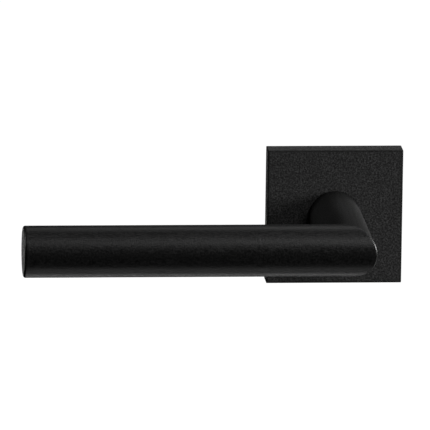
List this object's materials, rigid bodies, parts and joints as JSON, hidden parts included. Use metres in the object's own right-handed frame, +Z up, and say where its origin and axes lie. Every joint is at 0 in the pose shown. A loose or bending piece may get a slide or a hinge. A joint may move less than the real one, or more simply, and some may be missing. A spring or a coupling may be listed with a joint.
{
  "type": "door lever handle",
  "caption": "Round-tube lever door handle with a mitred corner on a square rose: sprung lever, square spindle, bolted base plate and a rose cover that slides off along the neck.",
  "frame": {"origin": "where the spindle axis meets the door face", "axes": "+Z up, +Y into the door, the neck stands out along -Y and the grip points along -X"},
  "size_m": [0.144, 0.1215, 0.05],
  "materials": {
    "black_coat": "matt black powder coat, fine texture",
    "turned_steel": "turned steel",
    "dark_steel": "blackened steel",
    "zinc_plate": "bright zinc plate",
    "die_cast_zinc": "zinc die casting, as cast",
    "spring_steel": "spring steel",
    "nylon": "natural nylon",
    "black_nylon": "black nylon"
  },
  "bodies": {
    "base": {"base_plate": "die_cast_zinc", "bearing_bush": "nylon", "bolt_sleeves": "zinc_plate", "through_bolts": "zinc_plate", "wood_screws": "zinc_plate", "stop_pins": "turned_steel", "return_spring": "spring_steel", "cover_clips": "spring_steel"},
    "lever": {"grip_tube": "black_coat", "neck_tube": "black_coat", "grip_end_cap": "black_coat", "neck_core": "turned_steel", "grub_screw": "dark_steel", "spindle": "zinc_plate", "driver_disc": "zinc_plate", "thrust_washer": "nylon", "back_washer": "zinc_plate", "disc_spring": "spring_steel", "retaining_ring": "spring_steel"},
    "cover": {"rose_cover": "black_coat", "neck_ring": "black_nylon"}
  },
  "joints": [
    {"name": "lever_turn", "type": "hinge", "parent": "base", "child": "lever", "pos_m": [0, 0, 0], "axis": [0, -1, 0], "range_deg": [0, 45], "stiffness_Nm_per_rad": 0.6, "springref_deg": -34.38, "deforming": ["return_spring"]},
    {"name": "cover_slide", "type": "slide", "parent": "base", "child": "cover", "axis": [0, -1, 0], "range_m": [0, 0.038]}
  ]
}
